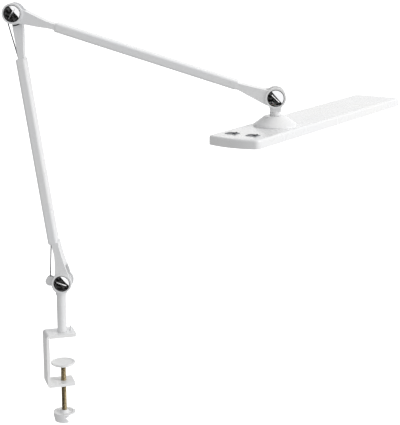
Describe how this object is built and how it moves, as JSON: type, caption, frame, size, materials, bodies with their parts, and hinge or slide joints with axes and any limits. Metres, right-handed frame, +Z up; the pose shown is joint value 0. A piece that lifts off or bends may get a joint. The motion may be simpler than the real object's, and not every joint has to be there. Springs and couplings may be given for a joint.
{
  "type": "swing arm desk lamp",
  "caption": "White desk lamp: screw clamp and post, two rectangular tube arms with round pivot covers and balance springs, and a long flat light head on a cone swivel.",
  "frame": {"origin": "on the post's axis, on the underside of the upper jaw, where the clamp sits on the desk", "axes": "+Z up, +X from the clamp's spine toward the free end of its jaws, +Y along the desk's edge"},
  "size_m": [0.6668, 0.3729, 0.6313],
  "materials": {
    "white_paint": "gloss white paint on steel",
    "white_casting": "gloss white paint on zinc casting",
    "white_plastic": "gloss white moulded plastic",
    "chrome_cap": "mirror chrome, slotted",
    "brass_plate": "yellow passivated steel screw",
    "steel": "zinc plated steel",
    "spring_steel": "spring wire",
    "cast_zinc": "bare casting inside the tube",
    "plain_aluminium": "mill finish sheet",
    "nylon": "natural nylon",
    "white_rubber": "white rubber gland",
    "grey_plastic": "grey switch housing",
    "dark_plastic": "dark rocker",
    "opal": "opal acrylic",
    "board_white": "white solder mask",
    "led_yellow": "phosphor",
    "board_green": "green solder mask"
  },
  "bodies": {
    "clamp": {"clamp_frame": "white_paint", "post": "white_paint", "post_bush": "nylon", "jaw_stud": "white_paint"},
    "pad": {"clamp_pad": "white_paint"},
    "screw": {"clamp_screw": "brass_plate", "knob": "white_plastic"},
    "arm_base": {"base_bracket": "white_casting", "base_spindle": "steel", "base_link_pin": "steel", "base_washers": "nylon"},
    "lower_arm": {"lower_fork": "white_casting", "lower_tube": "white_paint", "elbow_tongue": "white_casting", "lower_caps": "chrome_cap", "lower_bolt": "steel", "lower_nut": "steel", "lower_tube_rivets": "white_paint", "elbow_washers": "nylon", "spring_anchor": "cast_zinc", "base_spring": "spring_steel", "elbow_spring": "spring_steel", "cord_gland": "white_rubber"},
    "lower_link": {"base_link": "spring_steel"},
    "upper_link": {"elbow_link": "spring_steel"},
    "upper_arm": {"elbow_fork": "white_casting", "upper_tube": "white_paint", "head_fork": "white_casting", "upper_caps": "chrome_cap", "upper_bolts": "steel", "upper_nuts": "steel", "upper_tube_rivets": "white_paint", "elbow_link_pin": "steel"},
    "neck": {"neck": "white_casting", "neck_set_screw": "steel", "swivel_spindle": "steel", "swivel_washer": "steel", "swivel_nut": "steel", "head_washers": "nylon"},
    "head": {"cone": "white_plastic", "cone_screws": "steel", "head_cover": "white_plastic", "heat_plate": "plain_aluminium", "led_board": "board_white", "led_chips": "led_yellow", "diffuser": "opal", "driver_board": "board_green", "switch_housings": "grey_plastic"},
    "switch_left": {"rocker_left": "dark_plastic"},
    "switch_right": {"rocker_right": "dark_plastic"}
  },
  "joints": [
    {"name": "post_swivel", "type": "hinge", "parent": "clamp", "child": "arm_base", "pos_m": [0, 0, 0.06], "axis": [0, 0, 1], "range_deg": [-170, 170]},
    {"name": "lower_arm_pivot", "type": "hinge", "parent": "arm_base", "child": "lower_arm", "pos_m": [0.00293, -0.00101, 0.0836], "axis": [0.3272, 0.9449, 0], "range_deg": [-25, 45], "deforming": ["base_spring"]},
    {"name": "elbow", "type": "hinge", "parent": "lower_arm", "child": "upper_arm", "pos_m": [-0.05359, 0.01856, 0.4791], "axis": [0.3272, 0.9449, 0], "range_deg": [-65, 30], "deforming": ["elbow_spring"]},
    {"name": "head_tilt", "type": "hinge", "parent": "upper_arm", "child": "neck", "pos_m": [0.29833, -0.1033, 0.36132], "axis": [0.3272, 0.9449, 0], "range_deg": [-60, 30]},
    {"name": "head_swivel", "type": "hinge", "parent": "neck", "child": "head", "pos_m": [0.29833, -0.1033, 0.33132], "axis": [0, 0, 1], "range_deg": [-160, 40]},
    {"name": "lower_link_pivot", "type": "hinge", "parent": "arm_base", "child": "lower_link", "pos_m": [-0.01484, 0.00514, 0.0846], "axis": [0.3272, 0.9449, 0], "range_deg": [-26, 46]},
    {"name": "upper_link_pivot", "type": "hinge", "parent": "upper_arm", "child": "upper_link", "pos_m": [-0.06495, 0.02249, 0.4783], "axis": [0.3272, 0.9449, 0], "range_deg": [-32, 68]},
    {"name": "clamp_travel", "type": "slide", "parent": "clamp", "child": "pad", "axis": [0, 0, 1], "range_m": [-0.0218, 0.0378]},
    {"name": "clamp_screw_turn", "type": "hinge", "parent": "pad", "child": "screw", "pos_m": [0, 0, -0.05], "axis": [0, 0, 1], "range_deg": [-6400, 11000]},
    {"name": "left_switch", "type": "hinge", "parent": "head", "child": "switch_left", "pos_m": [0.2179, -0.15111, 0.31892], "axis": [0.7524, 0.6587, 0], "range_deg": [0, 16]},
    {"name": "right_switch", "type": "hinge", "parent": "head", "child": "switch_right", "pos_m": [0.23931, -0.17557, 0.31892], "axis": [0.7524, 0.6587, 0], "range_deg": [0, 16]}
  ],
  "couplings": [
    {"joint": "lower_link_pivot", "follows": "lower_arm_pivot", "ratio": 0.99},
    {"joint": "upper_link_pivot", "follows": "elbow", "ratio": -1.0242},
    {"joint": "clamp_screw_turn", "follows": "clamp_travel", "rad_per_m": 5026.5}
  ]
}
